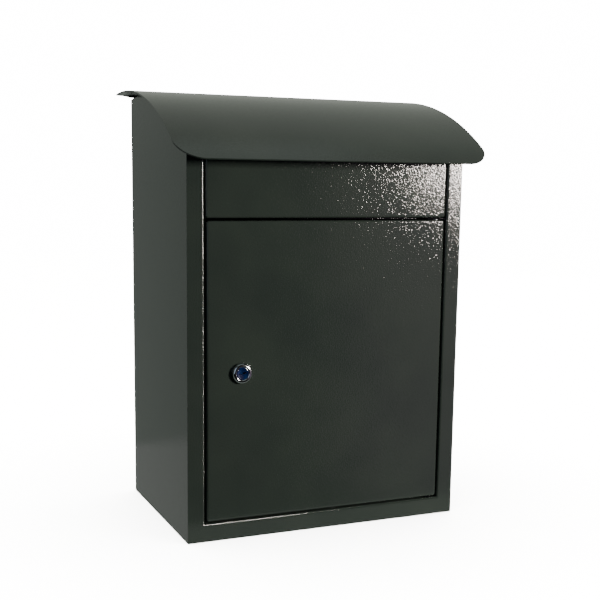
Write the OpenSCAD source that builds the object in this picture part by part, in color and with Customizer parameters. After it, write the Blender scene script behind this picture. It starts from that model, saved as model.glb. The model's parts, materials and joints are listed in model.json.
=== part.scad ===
// Wall mounted mailbox: folded steel cabinet with a rolled roof, a push-in mail flap
// and a locking door. The front faces -Y, the wall is the plane y = 0, and the origin
// is the centre of the four wall holes. Heights below are counted from the cabinet's
// underside, and placed() moves the finished shape into that frame.

/* [Cabinet] */
// Width across the side panels
body_w = 300; // [280:1:340]
// Depth from the wall to the front face
body_d = 202; // [195:1:240]
// Thickness of the folded sheet
sheet = 1.2; // [1:0.1:1.4]
// Inner radius of every fold
fold_r = 0.9; // [0.5:0.1:1.2]
// Width of the front stiles
stile_w = 17.5; // [16:0.5:20]
// Height of the front bottom rail
rail_h = 18; // [17:0.5:20]
// Depth of the returns behind the stiles and the rail
return_d = 12; // [12:0.1:12.5]

/* [Roof] */
// Radius of the rolled roof's top surface
roof_r = 320; // [310:1:340]
// Thickness of the roof sheet
roof_t = 1.5; // [1.2:0.1:1.8]
// Height of the roof's crest
roof_top = 447.5; // [446:0.5:450]
// Distance of the crest from the wall
crest_y = 32; // [28:1:36]
// Distance of the front lip from the wall
roof_reach = 234; // [228:1:244]
// Overhang past each side panel
roof_over = 17; // [12:0.5:22]
// Radius of the roof's front corners, in the flat sheet
corner_r = 28; // [20:1:32]
// Gap between the roof's underside and the side panels
roof_gap = 3.5; // [2.5:0.5:4]

/* [Door] */
// Height of the door's lower edge
door_low = 20; // [19.5:0.1:21]
// Height of the door's upper edge
door_high = 317.5; // [317:0.1:317.5]
// Gap between the door and each stile
door_gap = 2.2; // [2:0.1:2.6]
// Depth of the door's folded edges
door_d = 11; // [10:0.5:11]
// Hinge axis in from the door's edge
hinge_in = 8; // [7:0.5:9]
// Hinge axis behind the front face
hinge_back = 5; // [5:0.1:5.5]
// Radius of the hinge pins
pin_r = 2.5; // [2:0.1:2.6]

/* [Flap] */
// Height of the flap's lower edge
flap_low = 320; // [320:0.1:320.5]
// Height of the flap's upper edge
flap_high = 384; // [383.5:0.1:384]
// Gap between the flap and each stile
flap_gap = 1.2; // [1:0.1:1.5]
// Depth of the flap's lower edge, where the stop bar sits
flap_d = 14; // [14:0.1:14.5]
// Radius of the rod that the flap hangs on
rod_r = 2; // [1.8:0.1:2]

/* [Lock] */
// Distance of the lock from the door's free edge
lock_in = 35.8; // [34:0.1:37]
// Radius of the lock's head
head_r = 10.2; // [9.6:0.2:11]
// How far the head stands proud of the door
head_h = 5; // [4:0.5:6]
// Radius of the head's rounded shoulder
shoulder_r = 2.6; // [1:0.2:2.8]
// Radius of the lock's barrel
barrel_r = 8; // [7.5:0.5:8]
// Radius of the turning plug
plug_r = 6.2; // [5.8:0.1:6.2]
// Length of the cam from the lock's axis
cam_reach = 45; // [43:1:46]

/* [Wall holes] */
// Spacing across
hole_dx = 200; // [160:5:220]
// Spacing up and down
hole_dz = 300; // [240:5:320]
// Radius of each hole
hole_r = 3.5; // [3:0.25:4.5]
// Height of the pattern's centre
hole_mid = 220; // [200:5:230]

/* [Hidden] */
$fn = 96;

coat = "#39423c";
zinc = "#9aa0a3";
chrome = "#c9ccd0";
rubber = "#1c1c1d";
nylon = "#2a2b2c";
enamel = "#1d3f7a";

half = body_w / 2;
front = -body_d;
stile_x = half - stile_w;
return_y = front + return_d;
wall_in = half - sheet;
mid = sheet / 2;
fit = 0.05;

roof_z = roof_top - roof_r;
roof_in = roof_r - roof_t;
side_r = roof_in - roof_gap;
roof_half = half + roof_over;
lip_angle = asin((roof_reach - crest_y) / roof_r);
rear_angle = -asin(crest_y / roof_r);
bracket_depth = 22;
bracket_flange = 21;
bracket_angles = [-2, 30];
stud_x = half - 12;
stud_angles = [5, 24];
stud_r = 2.5;
stud_len = 11;

door_x = stile_x - door_gap;
hinge_x = door_x - hinge_in;
hinge_y = front + hinge_back;
door_rear = front + door_d;
plate_low = 318;
plate_t = 1.2;
transom_y = -186;
transom_low = 296;
ledge_rear = -165;
rivet_x = [-90, 0, 90];
rivet_y = -176;
rivet_r = 1.6;
bush_r = 3.5;

flap_x = stile_x - flap_gap;
rod_y = front + sheet + rod_r + 0.3;
rod_z = flap_high - 5;
header_low = 386;
header_high = 392;
bar_half = stile_x + 8;
bar_low = flap_low + 3;
bar_high = flap_low + 14;

lock_x = -door_x + lock_in;
lock_z = (door_low + door_high) / 2;
barrel_end = return_y;
cam_y = return_y + 0.6;
cam_t = 2;
cam_w = 14;
tang = 6;
washer_t = 0.8;
screw_r = 2;
screw_len = 9;

// Everything moves from heights above the cabinet's underside to the wall holes' centre
module placed() {
    translate([0, 0, -hole_mid]) children();
}

// Box between two corners
module block(low, high) {
    translate(low) cube(high - low);
}

// Outline drawn in Y and Z, carried along X
module along_x(x0, x1) {
    translate([x0, 0, 0]) rotate([90, 0, 90]) linear_extrude(x1 - x0) children();
}

// Cylinder along Y from y0 to y1
module rod_along_y(r, y0, y1, x, z) {
    translate([x, y0, z]) rotate([-90, 0, 0]) cylinder(r = r, h = y1 - y0);
}

// Cylinder along X from x0 to x1
module rod_along_x(r, x0, x1, y, z) {
    translate([x0, y, z]) rotate([0, 90, 0]) cylinder(r = r, h = x1 - x0);
}

function unit(v) = v / norm(v);
function left_of(v) = [-v[1], v[0]];
function cross_2(u, v) = u[0] * v[1] - u[1] * v[0];

// Round fold at p1, seen on the side d to the left of the sheet's middle line
function fold(p0, p1, p2, d, steps = 4) =
    let (u = unit(p1 - p0), v = unit(p2 - p1), s = sign(cross_2(u, v)),
        turn = acos(u * v), rc = fold_r + mid,
        c = p1 - rc * tan(turn / 2) * u + rc * s * left_of(u))
    [for (k = [0 : steps]) let (a = turn * k / steps)
        c + (rc - d * s) * (sin(a) * u - s * cos(a) * left_of(u))];

// One face of the folded sheet, from its first point to its last
function face(p, d) = let (n = len(p) - 1) concat(
    [p[0] + d * left_of(unit(p[1] - p[0]))],
    [for (i = [1 : 1 : n - 1]) each fold(p[i - 1], p[i], p[i + 1], d)],
    [p[n] + d * left_of(unit(p[n] - p[n - 1]))]);

// Section of a sheet folded along a path given on its middle line
module folded(path) {
    back_face = face(path, -mid);
    n = len(back_face) - 1;
    polygon(concat(face(path, mid), [for (i = [n : -1 : 0]) back_face[i]]));
}

// Point at radius r from the roof's axis, at an angle forward from the crest
function roof_point(r, a) = [-crest_y - r * sin(a), roof_z + r * cos(a)];

// Ring section round the roof's axis between two radii and two angles
module roof_ring(r_in, r_out, a0, a1) {
    far = 2 * r_out;
    intersection() {
        translate([-crest_y, roof_z]) difference() {
            circle(r = r_out);
            circle(r = r_in);
        }
        polygon([[-crest_y, roof_z], roof_point(far, a0), roof_point(far, (a0 + a1) / 2),
            roof_point(far, a1)]);
    }
}

// Local frame on the roof: Z along the radius, -Y down the slope
module on_roof(angle, r) {
    translate([0, -crest_y, roof_z]) rotate([angle, 0, 0]) translate([0, 0, r]) children();
}

// Keeps what lies under the curve that the side panels' upper edges follow
module under_roof() {
    intersection() {
        children();
        translate([-half - 1, -crest_y, roof_z]) rotate([0, 90, 0])
            cylinder(r = side_r, h = body_w + 2);
    }
}

module side_panel_left() {
    color(coat) placed() under_roof()
        block([-half, front + sheet, 0], [-wall_in, 0, roof_top]);
}

module side_panel_right() {
    color(coat) placed() under_roof()
        block([wall_in, front + sheet, 0], [half, 0, roof_top]);
}

// One stile with its return, at the left
module stile() {
    linear_extrude(roof_top) folded([[-half, front + mid], [-stile_x - mid, front + mid],
        [-stile_x - mid, return_y]]);
}

// Stiles and bottom rail in one sheet, whose returns meet at the opening's corners
module front_frame() {
    behind = front + sheet;
    color(coat) placed() difference() {
        under_roof() union() {
            difference() {
                for (side = [0, 1]) mirror([side, 0, 0]) stile();
                block([-half - 1, behind, -1], [half + 1, 0, rail_h - sheet]);
            }
            difference() {
                along_x(-half, half) folded([[front + mid, 0], [front + mid, rail_h - mid],
                    [return_y, rail_h - mid]]);
                for (x = [-half - 1, stile_x + sheet])
                    block([x, behind, -1], [x + stile_w - sheet + 1, 0, rail_h + 1]);
            }
        }
        rod_along_x(rod_r, -half, half, rod_y, rod_z);
        translate([hinge_x, hinge_y, rail_h - 2 * sheet]) cylinder(r = bush_r, h = 3 * sheet);
    }
}

module back_panel() {
    flange = 16;
    top = 440;
    path = [[-wall_in + mid, -flange], [-wall_in + mid, -mid],
        [wall_in - mid, -mid], [wall_in - mid, -flange]];
    color(coat) placed() difference() {
        union() {
            translate([0, 0, sheet]) linear_extrude(top - sheet) folded(path);
            block([-wall_in + sheet, -flange + 2, top - sheet], [wall_in - sheet, -mid, top]);
        }
        for (x = [-hole_dx, hole_dx] / 2, z = [-hole_dz, hole_dz] / 2)
            rod_along_y(hole_r, -sheet - 1, 1, x, hole_mid + z);
    }
}

module bottom_panel() {
    flange = 12;
    behind = front + sheet;
    color(coat) placed() {
        along_x(-stile_x, stile_x) folded([[-sheet - mid, flange], [-sheet - mid, mid],
            [behind + mid, mid], [behind + mid, flange]]);
        block([-wall_in, behind + 2, 0], [wall_in, -sheet - 2, sheet]);
        for (x = [-wall_in, wall_in - sheet])
            block([x, front + 20, 0], [x + sheet, -20, flange]);
    }
}

module header_bar() {
    color(coat) placed() along_x(-stile_x, stile_x) folded([[front + mid, header_low],
        [front + mid, header_high - mid], [front + 18, header_high - mid]]);
}

module transom() {
    tab_x = stile_x + sheet;
    color(coat) placed() difference() {
        union() {
            along_x(-tab_x - sheet, tab_x + sheet) folded([[transom_y + mid, transom_low],
                [transom_y + mid, plate_low - mid], [ledge_rear, plate_low - mid]]);
            for (x = [-tab_x - sheet, tab_x])
                block([x, front + 3, transom_low + 2], [x + sheet, transom_y + mid, plate_low - 2]);
        }
        for (x = rivet_x) translate([x, rivet_y, plate_low - 2 * sheet])
            cylinder(r = rivet_r, h = 3 * sheet);
    }
}

module roof() {
    hem = 3.3;
    bite = 0.3;
    lip_x = roof_half - corner_r + bite;
    corner_angle = lip_angle - (corner_r - bite) / roof_r * 180 / PI;
    rear_z = roof_z + roof_r * cos(rear_angle);
    color(coat) placed() {
        difference() {
            along_x(-roof_half, roof_half) intersection() {
                roof_ring(roof_in, roof_r, rear_angle - 1, lip_angle);
                translate([-2 * roof_reach, 0]) square(2 * [roof_reach, roof_reach]);
            }
            for (s = [-1, 1]) on_roof(corner_angle, roof_in) translate([s * lip_x, 0, 0])
                difference() {
                    translate([s < 0 ? -corner_r - 2 : 0, -corner_r - 4, -6])
                        cube([corner_r + 2, corner_r + 4, 12]);
                    translate([0, 0, -7]) cylinder(r = corner_r, h = 14);
                }
        }
        // Turned-down rear edge with its ends cut back
        translate([0, 0, rear_z]) rotate([90, 0, 0]) linear_extrude(roof_t) polygon([
            [-roof_half, -0.8], [-roof_half, -1.9], [-half, -hem],
            [half, -hem], [roof_half, -1.9], [roof_half, -0.8]]);
    }
}

// Angle with one leaf on the side panel and one rolled leaf under the roof
module roof_bracket() {
    a0 = bracket_angles[0];
    a1 = bracket_angles[1];
    difference() {
        union() {
            along_x(-wall_in, -wall_in + sheet)
                roof_ring(roof_in - bracket_depth, roof_in, a0, a1);
            along_x(-wall_in, -wall_in + bracket_flange)
                roof_ring(roof_in - sheet, roof_in, a0, a1);
        }
        for (a = stud_angles) on_roof(a, roof_in - 2 * sheet) translate([-stud_x, 0, 0])
            cylinder(r = stud_r + 0.25, h = 3 * sheet);
    }
}

module roof_bracket_left() {
    color(coat) placed() roof_bracket();
}

module roof_bracket_right() {
    color(coat) placed() mirror([1, 0, 0]) roof_bracket();
}

module roof_studs() {
    color(zinc) placed() for (x = [-stud_x, stud_x], a = stud_angles)
        on_roof(a, roof_in - stud_len) translate([x, 0, 0]) cylinder(r = stud_r, h = stud_len);
}

module roof_nuts() {
    nut_h = 4;
    color(zinc) placed() for (x = [-stud_x, stud_x], a = stud_angles)
        on_roof(a, roof_in - sheet - nut_h - fit) translate([x, 0, 0]) difference() {
            cylinder(r = 4.62, h = nut_h, $fn = 6);
            translate([0, 0, -1]) cylinder(r = stud_r, h = nut_h + 2);
        }
}

// Tongue riveted on the transom's ledge, sloping back and down over the mail space
module mail_chute() {
    color(coat) placed() difference() {
        along_x(2 - stile_x, stile_x - 2) folded([[transom_y + 2, plate_low + mid],
            [ledge_rear + 1.5, plate_low + mid], [-100, 275], [-100, 262]]);
        for (x = rivet_x) translate([x, rivet_y, plate_low - 1])
            cylinder(r = rivet_r, h = 2 * sheet + 2);
        // Room for the hinge plate at the right end
        block([hinge_x - 14, transom_y, plate_low - 1], [stile_x, ledge_rear - 4, plate_low + 3]);
    }
}

module chute_rivets() {
    head = 1;
    color(coat) placed() for (x = rivet_x) translate([x, rivet_y, plate_low]) {
        translate([0, 0, -sheet - head]) cylinder(r = rivet_r, h = 2 * (sheet + head));
        for (z = [-sheet - head, sheet]) translate([0, 0, z]) cylinder(r = 3.2, h = head);
    }
}

// Plate on the transom's ledge that reaches over the door and takes the upper pin
module hinge_plate() {
    color(coat) placed() difference() {
        block([hinge_x - 11, front + 1.5, plate_low],
            [stile_x, ledge_rear - 5, plate_low + plate_t]);
        translate([hinge_x, hinge_y, plate_low - 1]) cylinder(r = pin_r + fit, h = plate_t + 2);
    }
}

module hinge_bush() {
    color(nylon) placed() translate([hinge_x, hinge_y, rail_h]) difference() {
        union() {
            translate([0, 0, -2.4]) cylinder(r = bush_r, h = 2.5);
            cylinder(r = 4.6, h = 1.2);
        }
        translate([0, 0, -3]) cylinder(r = pin_r + fit, h = 5);
    }
}

module door_buffers() {
    color(rubber) placed() for (x = [-100, 60])
        rod_along_y(4.5, door_rear + 0.4, transom_y, x, 313);
}

module flap_rod() {
    reach = stile_x + 7;
    color(zinc) placed() rod_along_x(rod_r, -reach, reach, rod_y, rod_z);
}

// Flat clips pushed on from behind, open towards the front
module flap_rod_clips() {
    clip_t = 0.8;
    clip_r = 3.5;
    color(zinc) placed() for (x = [-stile_x - sheet - clip_t, stile_x + sheet]) difference() {
        block([x, rod_y - 1, rod_z - clip_r], [x + clip_t, rod_y + 6, rod_z + clip_r]);
        rod_along_x(rod_r, x - 1, x + clip_t + 1, rod_y, rod_z);
    }
}

module door_panel() {
    path = [[-door_x + mid, door_rear], [-door_x + mid, front + mid],
        [door_x - mid, front + mid], [door_x - mid, door_rear]];
    color(coat) placed() difference() {
        union() {
            translate([0, 0, door_low]) linear_extrude(door_high - door_low) folded(path);
            for (z = [door_low, door_high - sheet])
                block([-door_x + mid, front + mid, z], [door_x - mid, door_rear, z + sheet]);
        }
        for (z = [door_low, door_high]) translate([hinge_x, hinge_y, z - 2 * sheet])
            cylinder(r = pin_r, h = 4 * sheet);
        rod_along_y(barrel_r, front - 1, front + sheet + 1, lock_x, lock_z);
    }
}

// Hat section behind the door's skin
module door_stiffener() {
    foot = front + sheet + mid;
    crown = front + 9;
    color(coat) placed() translate([0, 0, door_low + 12])
        linear_extrude(door_high - door_low - 24) folded([[6, foot], [18, foot],
            [18, crown], [42, crown], [42, foot], [54, foot]]);
}

// Angle inside the door's hinge edge; its shelf at height z holds one pin
module hinge_bracket(z, leaf_low, leaf_high) {
    plate = 1.5;
    edge_x = door_x - sheet;
    y0 = front + sheet + fold_r;
    y1 = door_rear - 0.5;
    difference() {
        union() {
            block([hinge_x - 8, y0, z], [edge_x, y1, z + plate]);
            block([edge_x - plate, y0, leaf_low], [edge_x, y1, leaf_high]);
        }
        translate([hinge_x, hinge_y, z - 1]) cylinder(r = pin_r, h = plate + 2);
    }
}

module hinge_bracket_upper() {
    z = door_high - 16;
    color(coat) placed() hinge_bracket(z, z - 14, z + 1.5);
}

module hinge_bracket_lower() {
    z = door_low + 16;
    color(coat) placed() hinge_bracket(z, z, z + 15);
}

module hinge_pin_upper() {
    low = door_high - 19;
    color(zinc) placed() translate([hinge_x, hinge_y, low])
        cylinder(r = pin_r, h = plate_low + plate_t - low);
}

module hinge_pin_lower() {
    low = rail_h - 5;
    color(zinc) placed() translate([hinge_x, hinge_y, low])
        cylinder(r = pin_r, h = door_low + 20 - low);
}

// Round-shouldered head with a sloping lip round the plug, and a barrel bored for it
module lock_body() {
    lip_w = 0.7;
    lip_h = 0.9;
    bore = plug_r + fit;
    depth = barrel_end - front;
    shoulder = [for (a = [90 : -15 : 0])
        [head_r, -head_h] + shoulder_r * [cos(a) - 1, 1 - sin(a)]];
    color(chrome) placed() translate([lock_x, front, lock_z]) rotate([-90, 0, 0])
        rotate_extrude() polygon(concat([[bore, lip_h - head_h], [plug_r + lip_w, -head_h]],
            shoulder, [[head_r, 0], [barrel_r, 0], [barrel_r, depth], [bore, depth]]));
}

module lock_nut() {
    nut_h = 4;
    y = front + sheet;
    color(zinc) placed() difference() {
        translate([lock_x, y, lock_z]) rotate([-90, 0, 0]) cylinder(r = 12, h = nut_h, $fn = 6);
        rod_along_y(barrel_r, y - 1, y + nut_h + 1, lock_x, lock_z);
    }
}

// Plug with a shallow dish round its keyway
module lock_plug() {
    key_w = 1.6;
    key_h = 7.5;
    dish_h = 0.5;
    dish_in = 2.4;
    dish_out = plug_r - 0.7;
    proud = 0.1;
    face_y = front - head_h + 0.5;
    slope = (dish_out - dish_in) / dish_h;
    color(enamel) placed() difference() {
        union() {
            rod_along_y(plug_r, face_y, cam_y, lock_x, lock_z);
            translate([lock_x - tang / 2, cam_y - 1, lock_z - tang / 2])
                cube([tang, cam_t + 0.9, tang]);
        }
        translate([lock_x, face_y - proud, lock_z]) rotate([-90, 0, 0])
            cylinder(r1 = dish_out + proud * slope, r2 = dish_in, h = dish_h + proud);
        translate([lock_x, face_y + 2, lock_z]) cube([key_h, 6, key_w], center = true);
        rod_along_y(screw_r, cam_y - screw_len, cam_y + cam_t + 1, lock_x, lock_z);
    }
}

// Cam hanging down in the unlocked rest position
module lock_cam() {
    color(zinc) placed() difference() {
        union() {
            rod_along_y(9, cam_y, cam_y + cam_t, lock_x, lock_z);
            rod_along_y(cam_w / 2, cam_y, cam_y + cam_t, lock_x,
                lock_z - cam_reach + cam_w / 2);
            block([lock_x - cam_w / 2, cam_y, lock_z - cam_reach + cam_w / 2],
                [lock_x + cam_w / 2, cam_y + cam_t, lock_z]);
        }
        translate([lock_x, cam_y, lock_z]) cube([tang, 3 * cam_t, tang], center = true);
    }
}

module cam_washer() {
    y = cam_y + cam_t;
    color(zinc) placed() difference() {
        rod_along_y(6.5, y, y + washer_t, lock_x, lock_z);
        rod_along_y(screw_r, y - 1, y + washer_t + 1, lock_x, lock_z);
    }
}

module cam_screw() {
    y = cam_y + cam_t + washer_t;
    color(zinc) placed() {
        rod_along_y(screw_r, cam_y - screw_len + 1, y + 1, lock_x, lock_z);
        translate([lock_x, y, lock_z]) rotate([-90, 0, 0]) cylinder(r = 4, h = 3, $fn = 6);
    }
}

// Skin with a top return and a bottom channel, and ears at both ends for the rod
module flap_panel() {
    lower_y = front + flap_d;
    path = [[return_y, flap_high - mid], [front + mid, flap_high - mid],
        [front + mid, flap_low + mid], [lower_y - mid, flap_low + mid],
        [lower_y - mid, flap_low + 14]];
    color(coat) placed() difference() {
        union() {
            along_x(-flap_x, flap_x) folded(path);
            for (x = [-flap_x, flap_x - sheet])
                block([x, front + mid, flap_low + mid], [x + sheet, return_y, flap_high - mid]);
        }
        for (x = [-flap_x, flap_x])
            rod_along_x(rod_r + 2 * fit, x - 2, x + 2, rod_y, rod_z);
    }
}

// Bar behind the flap whose ends stop against the stiles' returns
module flap_stop_bar() {
    y = front + flap_d;
    color(coat) placed() block([-bar_half, y, bar_low], [bar_half, y + 1.5, bar_high]);
}

module flap_buffers() {
    color(rubber) placed() for (x = [-bar_half, stile_x - 0.5])
        block([x, return_y + 0.4, bar_low + 1], [x + 8.5, front + flap_d, bar_high - 1]);
}

side_panel_left();
side_panel_right();
front_frame();
back_panel();
bottom_panel();
header_bar();
transom();
roof();
roof_bracket_left();
roof_bracket_right();
roof_studs();
roof_nuts();
mail_chute();
chute_rivets();
hinge_plate();
hinge_bush();
door_buffers();
flap_rod();
flap_rod_clips();
door_panel();
door_stiffener();
hinge_bracket_upper();
hinge_bracket_lower();
hinge_pin_upper();
hinge_pin_lower();
lock_body();
lock_nut();
lock_plug();
lock_cam();
cam_washer();
cam_screw();
flap_panel();
flap_stop_bar();
flap_buffers();
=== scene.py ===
import json
import math

import bmesh
import bpy
import numpy as np
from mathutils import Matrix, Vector


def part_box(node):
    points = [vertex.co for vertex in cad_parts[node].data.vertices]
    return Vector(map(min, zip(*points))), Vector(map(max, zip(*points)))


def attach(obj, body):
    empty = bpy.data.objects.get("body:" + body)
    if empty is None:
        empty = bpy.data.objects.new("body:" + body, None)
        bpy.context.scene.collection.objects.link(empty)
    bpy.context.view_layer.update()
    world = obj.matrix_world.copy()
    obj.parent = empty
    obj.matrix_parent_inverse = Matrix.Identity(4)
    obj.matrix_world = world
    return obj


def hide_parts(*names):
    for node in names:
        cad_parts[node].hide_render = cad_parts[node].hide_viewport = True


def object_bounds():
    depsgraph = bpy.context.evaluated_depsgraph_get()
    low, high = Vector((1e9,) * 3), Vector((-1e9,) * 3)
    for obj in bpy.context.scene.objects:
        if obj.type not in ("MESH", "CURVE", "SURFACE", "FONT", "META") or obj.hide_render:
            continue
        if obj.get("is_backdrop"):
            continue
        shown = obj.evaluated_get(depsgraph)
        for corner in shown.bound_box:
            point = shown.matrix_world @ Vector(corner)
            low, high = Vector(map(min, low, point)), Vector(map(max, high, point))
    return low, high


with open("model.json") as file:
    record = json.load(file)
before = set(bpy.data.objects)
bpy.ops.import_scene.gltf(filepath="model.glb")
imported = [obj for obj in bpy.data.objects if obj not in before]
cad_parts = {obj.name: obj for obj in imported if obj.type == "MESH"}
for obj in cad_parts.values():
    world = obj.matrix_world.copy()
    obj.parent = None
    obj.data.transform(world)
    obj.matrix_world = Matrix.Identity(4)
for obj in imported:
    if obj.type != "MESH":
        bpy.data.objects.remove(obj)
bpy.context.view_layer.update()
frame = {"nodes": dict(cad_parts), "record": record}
nodes = frame["nodes"]
print("frame loaded:", len(nodes), "nodes")

mm = 0.001  # every size below is in metres


cameraView = {
    "location": (-0.45438, -1.17938, 0.13919),
    "rotation": (80.886, -0.730, -23.253),
    "lens": 64.46,
    "shiftUp": 0.0833,
    "sensorWidth": 36,
    "nearest": 0.05,
}


def placeCamera(view):
    data = bpy.data.cameras.new("camera")
    data.lens = view["lens"]
    data.sensor_width = view["sensorWidth"]
    data.shift_y = view["shiftUp"]
    data.clip_start = view["nearest"]
    camera = bpy.data.objects.new("camera", data)
    camera.location = view["location"]
    camera.rotation_euler = [math.radians(a) for a in view["rotation"]]
    bpy.context.scene.collection.objects.link(camera)
    bpy.context.scene.camera = camera


placeCamera(cameraView)


def toLinear(hexColour):
    # sRGB hex to the linear colour that the shader takes
    channels = [int(hexColour[i:i + 2], 16) / 255 for i in (1, 3, 5)]
    return [c / 12.92 if c < 0.04045 else ((c + 0.055) / 1.055) ** 2.4 for c in channels] + [1.0]


def addNode(tree, kind, inputs=None, **settings):
    # a new node; an input is given a number, a colour or another node's output
    node = tree.nodes.new(kind)
    for name, value in settings.items():
        setattr(node, name, value)
    for name, value in (inputs or {}).items():
        if isinstance(value, bpy.types.NodeSocket):
            tree.links.new(value, node.inputs[name])
        else:
            node.inputs[name].default_value = value
    return node


def newMaterial(name):
    material = bpy.data.materials.new(name)
    material.use_nodes = True
    material.node_tree.nodes.clear()
    return material, material.node_tree


def finishMaterial(tree, shader):
    addNode(tree, "ShaderNodeOutputMaterial", {"Surface": shader.outputs[0]})


powderCoat = {
    "dark": "#262e2a",
    "light": "#2b332e",
    "cloud": 80 * mm,
    "cloudDetail": 2.0,
    "cloudSpan": (0.35, 0.65),
    "grain": 1.1 * mm,
    "relief": 0.1 * mm,
    "roughness": 0.08,
    "ior": 1.5,
}


def makePowderCoat(look):
    # Polyester powder coat with a fine hammered texture, baked on steel sheet: the small
    # hills scatter a lamp's reflection into sparkling grains and leave the rest calm. The
    # real grain is about 0.5 mm; here it is drawn about twice as coarse, so that it shows
    material, tree = newMaterial("texturedPowderCoat")
    place = addNode(tree, "ShaderNodeTexCoord").outputs["Object"]
    hills = addNode(tree, "ShaderNodeTexNoise", {
        "Vector": place, "Scale": 1 / look["grain"], "Detail": 0.0})
    clouds = addNode(tree, "ShaderNodeTexNoise", {
        "Vector": place, "Scale": 1 / look["cloud"], "Detail": look["cloudDetail"]})
    tone = addNode(tree, "ShaderNodeValToRGB", {"Fac": clouds.outputs["Fac"]})
    tone.color_ramp.elements[0].position = look["cloudSpan"][0]
    tone.color_ramp.elements[0].color = toLinear(look["dark"])
    tone.color_ramp.elements[1].position = look["cloudSpan"][1]
    tone.color_ramp.elements[1].color = toLinear(look["light"])
    bump = addNode(tree, "ShaderNodeBump", {
        "Strength": 1.0, "Distance": look["relief"], "Height": hills.outputs["Fac"]})
    shader = addNode(tree, "ShaderNodeBsdfPrincipled", {
        "Base Color": tone.outputs["Color"], "Roughness": look["roughness"],
        "IOR": look["ior"], "Normal": bump.outputs["Normal"]})
    finishMaterial(tree, shader)
    return material


zincPlate = {"tone": "#b9bcc0", "shade": "#9da1a6", "patch": 4 * mm, "detail": 3.0,
             "relief": 0.02 * mm, "reliefStrength": 0.4, "roughness": 0.3}


def makeZincPlate(look):
    # Bright zinc plating on turned and stamped steel: bluish silver with faint cloudy patches
    material, tree = newMaterial("brightZincPlate")
    place = addNode(tree, "ShaderNodeTexCoord").outputs["Object"]
    patches = addNode(tree, "ShaderNodeTexNoise", {
        "Vector": place, "Scale": 1 / look["patch"], "Detail": look["detail"]})
    tone = addNode(tree, "ShaderNodeValToRGB", {"Fac": patches.outputs["Fac"]})
    tone.color_ramp.elements[0].color = toLinear(look["shade"])
    tone.color_ramp.elements[1].color = toLinear(look["tone"])
    bump = addNode(tree, "ShaderNodeBump", {
        "Strength": look["reliefStrength"], "Distance": look["relief"],
        "Height": patches.outputs["Fac"]})
    shader = addNode(tree, "ShaderNodeBsdfPrincipled", {
        "Base Color": tone.outputs["Color"], "Metallic": 1.0,
        "Roughness": look["roughness"], "Normal": bump.outputs["Normal"]})
    finishMaterial(tree, shader)
    return material


chromePlate = {"tone": "#c6cccd", "ripple": 2.5 * mm, "detail": 1.0, "relief": 0.03 * mm,
               "reliefStrength": 0.5, "roughness": 0.13}


def makeChromePlate(look):
    # Polished chrome over a zinc casting: a dark and bright mirror with a trace of ripple
    material, tree = newMaterial("polishedChrome")
    place = addNode(tree, "ShaderNodeTexCoord").outputs["Object"]
    ripple = addNode(tree, "ShaderNodeTexNoise", {
        "Vector": place, "Scale": 1 / look["ripple"], "Detail": look["detail"]})
    bump = addNode(tree, "ShaderNodeBump", {
        "Strength": look["reliefStrength"], "Distance": look["relief"],
        "Height": ripple.outputs["Fac"]})
    shader = addNode(tree, "ShaderNodeBsdfPrincipled", {
        "Base Color": toLinear(look["tone"]), "Metallic": 1.0,
        "Roughness": look["roughness"], "Normal": bump.outputs["Normal"]})
    finishMaterial(tree, shader)
    return material


plugEnamel = {"deep": "#050c30", "bright": "#0b2b54", "drift": 11 * mm, "detail": 1.0,
              "driftSpan": (0.4, 0.6), "roughness": 0.16, "ior": 1.54, "gloss": 0.6,
              "glossRoughness": 0.05}


def makePlugEnamel(look):
    # Blue moulded ABS cap on the plug: glossy deep blue with slightly brighter clouds
    material, tree = newMaterial("glossyBlueAbs")
    place = addNode(tree, "ShaderNodeTexCoord").outputs["Object"]
    drift = addNode(tree, "ShaderNodeTexNoise", {
        "Vector": place, "Scale": 1 / look["drift"], "Detail": look["detail"]})
    tone = addNode(tree, "ShaderNodeValToRGB", {"Fac": drift.outputs["Fac"]})
    tone.color_ramp.elements[0].position = look["driftSpan"][0]
    tone.color_ramp.elements[0].color = toLinear(look["deep"])
    tone.color_ramp.elements[1].position = look["driftSpan"][1]
    tone.color_ramp.elements[1].color = toLinear(look["bright"])
    shader = addNode(tree, "ShaderNodeBsdfPrincipled", {
        "Base Color": tone.outputs["Color"], "Roughness": look["roughness"],
        "IOR": look["ior"], "Coat Weight": look["gloss"],
        "Coat Roughness": look["glossRoughness"]})
    finishMaterial(tree, shader)
    return material


softBlack = {
    "blackRubber": {"tone": "#161617", "grain": 0.4 * mm, "detail": 2.0, "relief": 0.03 * mm,
                    "reliefStrength": 0.8, "roughness": 0.75, "ior": 1.52},
    "blackNylon": {"tone": "#1d1d1f", "grain": 0.8 * mm, "detail": 2.0, "relief": 0.01 * mm,
                   "reliefStrength": 0.8, "roughness": 0.5, "ior": 1.52},
}


def makeSoftBlack(name, look):
    # Moulded black rubber or nylon: a dull surface with the fine grain of the mould
    material, tree = newMaterial(name)
    place = addNode(tree, "ShaderNodeTexCoord").outputs["Object"]
    grain = addNode(tree, "ShaderNodeTexNoise", {
        "Vector": place, "Scale": 1 / look["grain"], "Detail": look["detail"]})
    bump = addNode(tree, "ShaderNodeBump", {
        "Strength": look["reliefStrength"], "Distance": look["relief"],
        "Height": grain.outputs["Fac"]})
    shader = addNode(tree, "ShaderNodeBsdfPrincipled", {
        "Base Color": toLinear(look["tone"]), "Roughness": look["roughness"],
        "IOR": look["ior"], "Normal": bump.outputs["Normal"]})
    finishMaterial(tree, shader)
    return material


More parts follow.
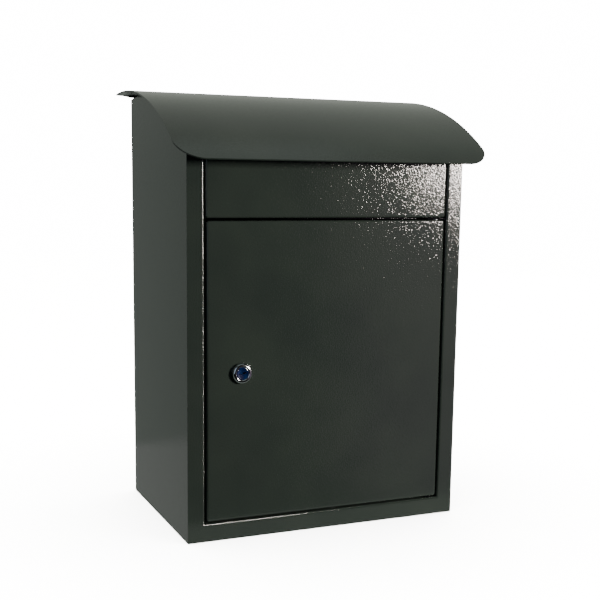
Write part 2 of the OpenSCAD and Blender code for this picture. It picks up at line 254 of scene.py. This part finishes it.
coat = makePowderCoat(powderCoat)
zinc = makeZincPlate(zincPlate)
chrome = makeChromePlate(chromePlate)
enamel = makePlugEnamel(plugEnamel)
rubber = makeSoftBlack("blackRubber", softBlack["blackRubber"])
nylon = makeSoftBlack("blackNylon", softBlack["blackNylon"])
finishes = {"powder_coat": coat, "zinc_plate": zinc, "chrome": chrome,
            "plug_blue": enamel, "rubber": rubber, "nylon": nylon}
slotOf = {row["node"]: row["material_slot"] for row in frame["record"]["subparts"]}
bodyOf = {node: body for body, members in frame["record"]["behaviour"]["bodies"].items()
          for node in members}
print("materials made:", len(finishes))


def addPiece(name, mesh, node, replaced=True):
    # links a mesh, gives it the node's finish and lets it ride where the node rides
    obj = bpy.data.objects.new(name, mesh)
    bpy.context.scene.collection.objects.link(obj)
    mesh.materials.clear()
    mesh.materials.append(finishes[slotOf[node]])
    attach(obj, bodyOf[node])
    if replaced:
        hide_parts(node)
    return obj


def smoothByAngle(mesh, degrees=32):
    mesh.shade_smooth()
    mesh.set_sharp_from_angle(angle=math.radians(degrees))


def gridSolid(name, points, wrapRows, wrapColumns):
    # Closed mesh from a grid of points: quads between neighbours, wrapped where asked,
    # and one flat face over each end of the direction that is left open
    rows, columns = points.shape[:2]
    index = np.arange(rows * columns).reshape(rows, columns)
    grid = np.vstack([index, index[:1]]) if wrapRows else index
    grid = np.hstack([grid, grid[:, :1]]) if wrapColumns else grid
    quads = np.stack([grid[:-1, :-1], grid[1:, :-1], grid[1:, 1:], grid[:-1, 1:]], -1)
    faces = quads.reshape(-1, 4).tolist()
    if not wrapRows:
        faces += [index[0, ::-1].tolist(), index[-1].tolist()]
    if not wrapColumns:
        faces += [index[:, 0].tolist(), index[::-1, -1].tolist()]
    mesh = bpy.data.meshes.new(name)
    mesh.from_pydata(points.reshape(-1, 3).tolist(), [], faces)
    shape = bmesh.new()
    shape.from_mesh(mesh)
    bmesh.ops.recalc_face_normals(shape, faces=shape.faces)
    shape.to_mesh(mesh)
    shape.free()
    smoothByAngle(mesh)
    return mesh


def arc(centre, radius, start, end, steps):
    # points on a circle, from one angle to another in degrees
    a = np.radians(np.linspace(start, end, steps + 1))
    return np.stack([centre[0] + radius * np.cos(a), centre[1] + radius * np.sin(a)], 1)


def roundEdges(obj, width, segments=2, degrees=40):
    bevel = obj.modifiers.new("roundEdges", "BEVEL")
    bevel.width = width
    bevel.segments = segments
    bevel.limit_method = "ANGLE"
    bevel.angle_limit = math.radians(degrees)
    bevel.harden_normals = True
    return obj


softening = {"joinWithin": 1e-6, "flatWithin": 0.5}  # metres and degrees


def softened(node, width):
    # the CAD node's own shape, with its loose triangles joined and its edges rounded
    mesh = nodes[node].data.copy()
    mesh.name = node + "_soft"
    shape = bmesh.new()
    shape.from_mesh(mesh)
    bmesh.ops.remove_doubles(shape, verts=shape.verts, dist=softening["joinWithin"])
    bmesh.ops.dissolve_limit(shape, angle_limit=math.radians(softening["flatWithin"]),
                             verts=shape.verts, edges=shape.edges)
    shape.to_mesh(mesh)
    shape.free()
    smoothByAngle(mesh)
    return roundEdges(addPiece(node + "_soft", mesh, node), width)


sheetMetal = {"thickness": 1.2 * mm, "foldInner": 0.9 * mm, "foldSteps": 6}
foldOuter = sheetMetal["foldInner"] + sheetMetal["thickness"]

frontFrame = {"railHeight": 18 * mm, "weldEdge": 0.12 * mm, "weldEdgeSteps": 8,
              "evenWidth": 5 * mm, "support": 0.4 * mm}

pan = {"corner": 2.4 * mm, "cornerSteps": 8, "leastCorner": 0.15 * mm, "support": 0.5 * mm}

flapChannel = {"lip": 14 * mm, "endGap": 4 * mm, "overlap": 3 * mm, "edge": 0.3 * mm}

roofSheet = {"radius": 320 * mm, "thickness": 1.5 * mm, "crest": 32 * mm,
             "corner": 28 * mm, "hem": 3.3 * mm, "hemBend": 2.0 * mm, "hemCut": 17 * mm,
             "sideGap": 3.5 * mm, "edge": 0.4 * mm, "edgeAngle": 60, "inside": 0.1 * mm,
             "hemSteps": 6, "bodyPoints": 56, "cornerSteps": 17, "acrossPoints": 17}
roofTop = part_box("roof")[1].z
roofAxis = (-roofSheet["crest"], roofTop - roofSheet["radius"])


def underRoof(y):
    # height of the side panels' curved upper edge at a depth y
    r = roofSheet["radius"] - roofSheet["thickness"] - roofSheet["sideGap"]
    return roofAxis[1] + np.sqrt(r ** 2 - (y - roofAxis[0]) ** 2)


def foldSection(front, rear, steps):
    # folded edge seen in section: (distance in from the edge, y), outer face then inner face
    t = sheetMetal["thickness"]
    outer = arc((foldOuter, front + foldOuter), foldOuter, 270, 180, steps)
    inner = arc((foldOuter, front + foldOuter), sheetMetal["foldInner"], 180, 270, steps)
    return np.vstack([outer, [[0, rear], [t, rear]], inner])


def makeFrontFrame():
    # Stiles and rail: one section carried down the left stile, along the rail and up the
    # right stile, mitred at the opening's lower corners
    low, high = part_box("front_frame")
    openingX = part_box("header_bar")[1].x
    openingZ = low.z + frontFrame["railHeight"]
    stileWidth = high.x - openingX
    widest = frontFrame["railHeight"]
    edge = frontFrame["weldEdge"]
    behind = low.y + sheetMetal["thickness"]
    near = frontFrame["support"]  # keeps the shading of the flat faces flat
    rim = arc((widest - edge, low.y + edge), edge, 0, -90, frontFrame["weldEdgeSteps"])
    fold = foldSection(low.y, high.y, sheetMetal["foldSteps"])
    bendEnd = sheetMetal["foldSteps"] + 1
    section = np.vstack([
        [[widest, behind]], rim, [[widest - 2 * edge, low.y], [foldOuter + near, low.y]],
        fold[:bendEnd], [[0, low.y + foldOuter + near]], fold[bendEnd:]])
    inwards, depth = section[:, 0], section[:, 1]
    even = frontFrame["evenWidth"]

    def spread(width):
        # keeps the fold's own width and stretches only the flat part to the given width
        stretched = even + (inwards - even) * (width - even) / (widest - even)
        return np.where(inwards < even, inwards, stretched)

    top = underRoof(depth)
    sideX = openingX + spread(stileWidth)
    railZ = openingZ - spread(widest)
    stations = [(-sideX, top), (-sideX, railZ), (sideX, railZ), (sideX, top)]
    points = np.stack([np.stack([x, depth, z], 1) for x, z in stations])
    addPiece("front_frame_sheet", gridSolid("front_frame_sheet", points, False, True),
             "front_frame")


def panLoop(low, high, inset, y):
    # rounded rectangle in X and Z, inset from the pan's edges, at a depth y
    r = max(pan["corner"] - inset, pan["leastCorner"])
    x, z = high.x - inset - r, high.z - inset - r
    x0, z0 = low.x + inset + r, low.z + inset + r
    corners = [arc(c, r, a, a + 90, pan["cornerSteps"])
               for c, a in (((x, z), 0), ((x0, z), 90), ((x0, z0), 180), ((x, z0), 270))]
    flat = np.vstack(corners)
    return np.stack([flat[:, 0], np.full(len(flat), y), flat[:, 1]], 1)


def makePan(name, node, rear):
    # Skin with folded edges all round: rounded rectangles stepped through the fold's section
    low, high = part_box(node)
    support = pan["support"]  # keeps the shading of the flat faces flat
    section = foldSection(low.y, rear, sheetMetal["foldSteps"])
    section = np.vstack([[[section[0, 0] + support, low.y]], section,
                         [[section[-1, 0] + support, section[-1, 1]]]])
    loops = [panLoop(low, high, inset, y) for inset, y in section]
    points = np.stack(loops, 1)
    return addPiece(name, gridSolid(name, points, True, False), node)


def makeFlapChannel(returnRear):
    # turned-up lip behind the flap's lower edge, where the stop bar is welded
    low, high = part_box("flap_panel")
    t = sheetMetal["thickness"]
    top = low.z + flapChannel["lip"]
    start = returnRear - flapChannel["overlap"]
    section = np.array([[start, low.z], [high.y, low.z], [high.y, top], [high.y - t, top],
                        [high.y - t, low.z + t], [start, low.z + t]])
    ends = (low.x + flapChannel["endGap"], high.x - flapChannel["endGap"])
    points = np.stack([np.column_stack([np.full(len(section), x), section]) for x in ends])
    mesh = gridSolid("flap_channel", points, False, True)
    roundEdges(addPiece("flap_channel", mesh, "flap_panel", replaced=False),
               flapChannel["edge"])


def makeRoof():
    # One rolled sheet: rows across the roof follow its profile from the turned-down rear
    # edge over the crest to the lip; the last rows shorten along a quarter circle
    low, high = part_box("roof")
    r, t = roofSheet["radius"], roofSheet["thickness"]
    half = high.x - roofSheet["inside"]
    bend = roofSheet["hemBend"]
    bendY = high.y - bend
    bendZ = roofAxis[1] + math.sqrt((r - bend) ** 2 - (bendY - roofAxis[0]) ** 2)
    rearAngle = math.atan2(bendY - roofAxis[0], bendZ - roofAxis[1])
    rearTop = bendZ + bend * math.cos(rearAngle)
    lipAngle = -math.asin((roofAxis[0] - low.y) / r)
    cornerAngle = lipAngle + roofSheet["corner"] / r

    hemTurn = np.linspace(math.pi / 2, rearAngle, roofSheet["hemSteps"] + 1)[:-1]
    body = np.linspace(rearAngle, cornerAngle, roofSheet["bodyPoints"])
    sweep = np.linspace(0, math.pi / 2, roofSheet["cornerSteps"] + 1)[1:]
    corner = cornerAngle - roofSheet["corner"] / r * np.sin(sweep)
    angles = np.concatenate([body, corner])

    def profile(depthIn):
        # the sheet's outer face, or its inner one a sheet's thickness further in
        foot = [[high.y - depthIn, rearTop - roofSheet["hem"]]]
        hem = np.stack([bendY + (bend - depthIn) * np.sin(hemTurn),
                        bendZ + (bend - depthIn) * np.cos(hemTurn)], 1)
        sheet = np.stack([roofAxis[0] + (r - depthIn) * np.sin(angles),
                          roofAxis[1] + (r - depthIn) * np.cos(angles)], 1)
        return np.vstack([foot, hem, sheet])

    outer, inner = profile(0.0), profile(t)
    halfWidth = np.full(len(outer), half)
    halfWidth[-len(corner):] = half - roofSheet["corner"] * (1 - np.cos(sweep))
    drop = np.clip((outer[0, 1] - outer[:, 1]) / (outer[0, 1] - rearTop), 0, 1)
    hemRows = 1 + len(hemTurn)
    halfWidth[:hemRows] = half - roofSheet["hemCut"] * (1 - drop[:hemRows])
    across = np.linspace(-1, 1, roofSheet["acrossPoints"])
    points = np.stack([
        np.vstack([
            np.column_stack([w * across, np.broadcast_to(a, (len(across), 2))]),
            np.column_stack([-w * across, np.broadcast_to(b, (len(across), 2))])])
        for w, a, b in zip(halfWidth, outer, inner)])
    mesh = gridSolid("roof_sheet", points, False, True)
    roundEdges(addPiece("roof_sheet", mesh, "roof"), roofSheet["edge"],
               degrees=roofSheet["edgeAngle"])


makeFrontFrame()
makePan("door_skin", "door_panel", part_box("door_panel")[1].y)
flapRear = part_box("front_frame")[1].y
makePan("flap_skin", "flap_panel", flapRear)
makeFlapChannel(flapRear)
makeRoof()
print("sheet metal made")


lockLook = {"around": 96, "shoulder": 2.6 * mm, "shoulderSteps": 12, "lipWidth": 0.7 * mm,
            "lipDepth": 0.9 * mm, "fit": 0.05 * mm, "barrel": 8.0 * mm, "soft": 0.2 * mm}
plugLook = {"rim": 0.7 * mm, "dishDepth": 0.5 * mm, "dishInner": 2.4 * mm, "dishRings": 5,
            "slotLength": 7.5 * mm, "slotWidth": 1.6 * mm, "slotDepth": 3.0 * mm,
            "slotTilt": 12, "slotEdge": 0.15 * mm, "slotSteepness": 6}


def turned(profile, axis):
    # (radius, y) points carried round an axis along Y
    a = np.linspace(0, 2 * math.pi, lockLook["around"], endpoint=False)
    return np.stack([
        axis[0] + np.outer(np.cos(a), profile[:, 0]),
        np.broadcast_to(profile[:, 1], (len(a), len(profile))),
        axis[1] + np.outer(np.sin(a), profile[:, 0])], 2)


def makeLockHead(look):
    # Chromed head and barrel: wall, quarter-round shoulder, flat ring, softened lip that
    # slopes down to the plug, straight bore
    low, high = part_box("lock_body")
    axis = ((low.x + high.x) / 2, (low.z + high.z) / 2)
    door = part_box("door_panel")[0].y
    headRadius = (high.x - low.x) / 2
    plugLow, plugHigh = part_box("lock_plug")
    plugRadius = (plugHigh.x - plugLow.x) / 2
    bore = plugRadius + look["fit"]
    shoulder, lip, soft = look["shoulder"], plugRadius + look["lipWidth"], look["soft"]
    profile = np.vstack([
        [[bore, high.y], [look["barrel"], high.y], [look["barrel"], door],
         [headRadius, door], [headRadius, door - soft]],
        [[headRadius, low.y + shoulder + soft]],
        arc((headRadius - shoulder, low.y + shoulder), shoulder, 0, -90,
            look["shoulderSteps"]),
        [[headRadius - shoulder - soft, low.y], [lip + 2 * soft, low.y], [lip + soft, low.y]],
        [[lip, low.y + soft / 2], [bore, low.y + look["lipDepth"]]],
        [[bore, low.y + look["lipDepth"] + soft]]])
    mesh = gridSolid("lock_head", turned(profile, axis), True, True)
    addPiece("lock_head", mesh, "lock_body")


def makeLockPlug(look):
    # Plug with a shallow dish: rings run from the wall over the rim into the dish, blend
    # into the keyway's slot-shaped outline and go down into it
    low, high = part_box("lock_plug")
    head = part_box("lock_body")
    axis = ((head[0].x + head[1].x) / 2, (head[0].z + head[1].z) / 2)
    radius = (high.x - low.x) / 2
    a = np.linspace(0, 2 * math.pi, lockLook["around"], endpoint=False)
    circle = np.stack([np.cos(a), np.sin(a)], 1)
    tilt = math.radians(look["slotTilt"])
    halfSlot = look["slotWidth"] / 2
    straight = (look["slotLength"] - look["slotWidth"]) / 2
    lean = np.array([[math.cos(tilt), math.sin(tilt)], [-math.sin(tilt), math.cos(tilt)]])
    local = circle @ lean.T
    across = np.clip(look["slotSteepness"] * straight * local[:, 0], -straight, straight)
    slot = (np.stack([across, np.zeros_like(a)], 1) + halfSlot * local) @ lean
    edge, face = look["slotEdge"], low.y
    wider = slot + edge * circle
    rim = radius - look["rim"]
    dish = face + look["dishDepth"]
    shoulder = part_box("lock_cam")[0].y
    rings = [(radius * circle, shoulder), (radius * circle, face + 2 * edge),
             ((radius - edge / 2) * circle, face + edge / 2),
             ((radius - 2 * edge) * circle, face), ((rim + edge) * circle, face),
             ((rim - edge) * circle, face + edge / 2)]
    inner = look["dishInner"]
    for step in range(look["dishRings"]):
        blend = (step + 1) / look["dishRings"]
        ring = ((rim - edge) * (1 - blend) + inner * blend) * circle
        longer = np.linalg.norm(ring, axis=1) < np.linalg.norm(wider, axis=1)
        ring = np.where(longer[:, None], wider, ring)
        rings.append((ring, face + edge / 2 + (dish - face - edge / 2) * blend))
    rings += [(wider, dish), (slot, dish + edge), (slot, dish + look["slotDepth"])]
    points = np.stack([
        np.stack([axis[0] + ring[:, 0], np.full(len(a), y), axis[1] + ring[:, 1]], 1)
        for ring, y in rings], 1)
    mesh = gridSolid("lock_plug_face", points, True, False)
    addPiece("lock_plug_face", mesh, "lock_plug")


makeLockHead(lockLook)
makeLockPlug(plugLook)
print("lock made")


roundedNodes = {
    "header_bar": 0.2 * mm, "transom": 0.2 * mm, "mail_chute": 0.5 * mm,
    "hinge_plate": 0.5 * mm, "roof_bracket_left": 0.2 * mm, "roof_bracket_right": 0.2 * mm,
    "flap_stop_bar": 0.25 * mm, "door_stiffener": 0.2 * mm,
    "hinge_bracket_upper": 0.2 * mm, "hinge_bracket_lower": 0.2 * mm,
    "roof_nuts": 0.3 * mm, "roof_studs": 0.4 * mm, "chute_rivets": 0.35 * mm,
    "flap_rod": 0.5 * mm, "flap_rod_clips": 0.15 * mm, "hinge_pin_upper": 0.5 * mm,
    "hinge_pin_lower": 0.5 * mm, "lock_nut": 0.4 * mm, "lock_cam": 0.3 * mm,
    "cam_washer": 0.15 * mm, "cam_screw": 0.4 * mm, "hinge_bush": 0.25 * mm,
    "door_buffers": 0.6 * mm, "flap_buffers": 0.3 * mm,
}
for node, width in roundedNodes.items():
    softened(node, width)
plainNodes = ("side_panel_left", "side_panel_right", "back_panel", "bottom_panel")
for node in plainNodes:
    nodes[node].data.materials.clear()
    nodes[node].data.materials.append(finishes[slotOf[node]])
print("carried-over parts finished")


stageLook = {
    "floorRadius": 4.0, "floorPoints": 64, "floorGap": 0.5 * mm, "floorTone": "#f4f4f2",
    "floorRoughness": 0.8,
    "whiteBackdrop": 20.0,
    "frontDark": (0.006, 0.007, 0.009), "backLow": (0.257, 0.287, 0.258),
    "backHigh": (0.432, 0.463, 0.411),
    "boardGlow": (0.362, 0.384, 0.358), "boardRear": 0.21, "boardSide": 1.2, "boardFront": 0.26,
    "boardGap": 1 * mm, "backFade": (-0.3, 0.5), "highFade": (0.0, 0.2),
}

lamps = {
    "overhead": {"location": (0.0, -0.4, 2.0), "aim": (0, 0, 0), "size": (2.0, 2.0),
                 "power": (3.1, 3.5, 3.5)},
    "frontFill": {"location": (-1.4, -1.6, 0.5), "aim": (0, -0.2, 0), "size": (1.6, 1.6),
                  "power": (3.2, 3.6, 4.4)},
    "warmKey": {"location": (1.42, -1.86, 0.36), "aim": (0.1, -0.2, 0.1), "size": (0.4, 0.4),
                "power": (92, 83, 77),
                "shades": ("transom_soft", "mail_chute_soft", "hinge_plate_soft",
                           "hinge_bush_soft", "hinge_pin_lower_soft",
                           "hinge_bracket_lower_soft")},
    "rightFill": {"location": (1.5, -1.9, -0.3), "aim": (0, -0.2, 0), "size": (1.2, 1.2),
                  "power": (1.2, 0.8, 1.2)},
    "rearFill": {"location": (2.2, 1.6, 0.6), "aim": (0, 0, 0), "size": (2.4, 2.4),
                 "power": (25, 26, 25), "shades": ("roof_sheet",)},
}
floorSun = {"strength": 58.0, "angle": 80, "height": 3.0}


def flatSheet(name, corners, material):
    mesh = bpy.data.meshes.new(name)
    mesh.from_pydata(np.asarray(corners).tolist(), [], [list(range(len(corners)))])
    mesh.materials.append(material)
    sheet = bpy.data.objects.new(name, mesh)
    bpy.context.scene.collection.objects.link(sheet)
    sheet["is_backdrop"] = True
    return sheet


def makeFloor(look):
    # pale floor that the box stands on; only the camera sees it
    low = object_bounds()[0]
    a = np.linspace(0, 2 * math.pi, look["floorPoints"], endpoint=False)
    ring = np.stack([look["floorRadius"] * np.cos(a), look["floorRadius"] * np.sin(a),
                     np.full(len(a), low.z - look["floorGap"])], 1)
    material, tree = newMaterial("palePaintedFloor")
    finishMaterial(tree, addNode(tree, "ShaderNodeBsdfPrincipled", {
        "Base Color": toLinear(look["floorTone"]), "Roughness": look["floorRoughness"]}))
    floor = flatSheet("floor", ring, material)
    floor.visible_glossy = False
    floor.visible_diffuse = False


def makeBoard(look):
    # lit white board lying under the box: it shows as the pale band low on the side
    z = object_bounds()[0].z - look["boardGap"]
    x, rear, front = look["boardSide"], look["boardRear"], -look["boardFront"]
    material, tree = newMaterial("litWhiteBoard")
    finishMaterial(tree, addNode(tree, "ShaderNodeEmission", {
        "Color": list(look["boardGlow"]) + [1.0]}))
    board = flatSheet("bounceBoard", [(-x, front, z), (x, front, z), (x, rear, z), (-x, rear, z)],
                      material)
    board.visible_camera = False
    board.visible_shadow = False


def makeWorld(look):
    # white backdrop for the eye; for light and reflections a studio that is dark on the
    # camera's side and lit behind the box. A colour Mix takes its factor in socket 0 and its
    # two colours in 6 and 7, and gives its result in output 2
    world = bpy.data.worlds.new("softStudio")
    world.use_nodes = True
    bpy.context.scene.world = world
    tree = world.node_tree
    tree.nodes.clear()
    way = addNode(tree, "ShaderNodeTexCoord")
    split = addNode(tree, "ShaderNodeSeparateXYZ", {"Vector": way.outputs["Generated"]})
    back = addNode(tree, "ShaderNodeMapRange", {
        "Value": split.outputs["Y"], "From Min": look["backFade"][0],
        "From Max": look["backFade"][1]}, interpolation_type="SMOOTHSTEP")
    high = addNode(tree, "ShaderNodeMapRange", {
        "Value": split.outputs["Z"], "From Min": look["highFade"][0],
        "From Max": look["highFade"][1]}, interpolation_type="SMOOTHSTEP")
    behind = addNode(tree, "ShaderNodeMix", {
        0: high.outputs[0], 6: list(look["backLow"]) + [1.0],
        7: list(look["backHigh"]) + [1.0]}, data_type="RGBA", name="behind")
    tone = addNode(tree, "ShaderNodeMix", {
        0: back.outputs[0], 6: list(look["frontDark"]) + [1.0], 7: behind.outputs[2]},
        data_type="RGBA", name="tone")
    seen = addNode(tree, "ShaderNodeBackground", {"Strength": look["whiteBackdrop"]})
    around = addNode(tree, "ShaderNodeBackground", {"Color": tone.outputs[2]})
    path = addNode(tree, "ShaderNodeLightPath")
    mixed = addNode(tree, "ShaderNodeMixShader", {
        0: path.outputs["Is Camera Ray"], 1: around.outputs[0], 2: seen.outputs[0]})
    addNode(tree, "ShaderNodeOutputWorld", {"Surface": mixed.outputs[0]})


def placeLamp(name, data, location, aim):
    lamp = bpy.data.objects.new(name, data)
    lamp.location = location
    turn = Vector(aim) - Vector(location)
    lamp.rotation_euler = turn.to_track_quat("-Z", "Y").to_euler()
    lamp.visible_camera = False
    bpy.context.scene.collection.objects.link(lamp)
    return lamp


def makeLamp(name, look):
    # square softbox
    data = bpy.data.lights.new(name, "AREA")
    data.shape = "RECTANGLE"
    data.size, data.size_y = look["size"]
    strongest = max(look["power"])
    data.energy = strongest
    data.color = [p / strongest for p in look["power"]]
    lamp = placeLamp(name, data, look["location"], look["aim"])
    if "shades" in look:
        # pieces that this lamp leaves dark, such as those deep in the gaps
        dark = bpy.data.collections.new(name + "Shades")
        for piece in look["shades"]:
            dark.objects.link(bpy.data.objects[piece])
        for member in dark.collection_objects:
            member.light_linking.link_state = "EXCLUDE"
        lamp.light_linking.receiver_collection = dark


def makeFloorSun(look):
    # broad even light that only the floor takes, so that it stays white with a soft shadow
    data = bpy.data.lights.new("floorSun", "SUN")
    data.energy = look["strength"]
    data.angle = math.radians(look["angle"])
    sun = placeLamp("floorSun", data, (0, 0, look["height"]), (0, 0, 0))
    lit = bpy.data.collections.new("floorSunReceivers")
    lit.objects.link(bpy.data.objects["floor"])
    sun.light_linking.receiver_collection = lit


makeFloor(stageLook)
makeBoard(stageLook)
makeWorld(stageLook)
for name, look in lamps.items():
    makeLamp(name, look)
makeFloorSun(floorSun)
print("stage and lamps made")
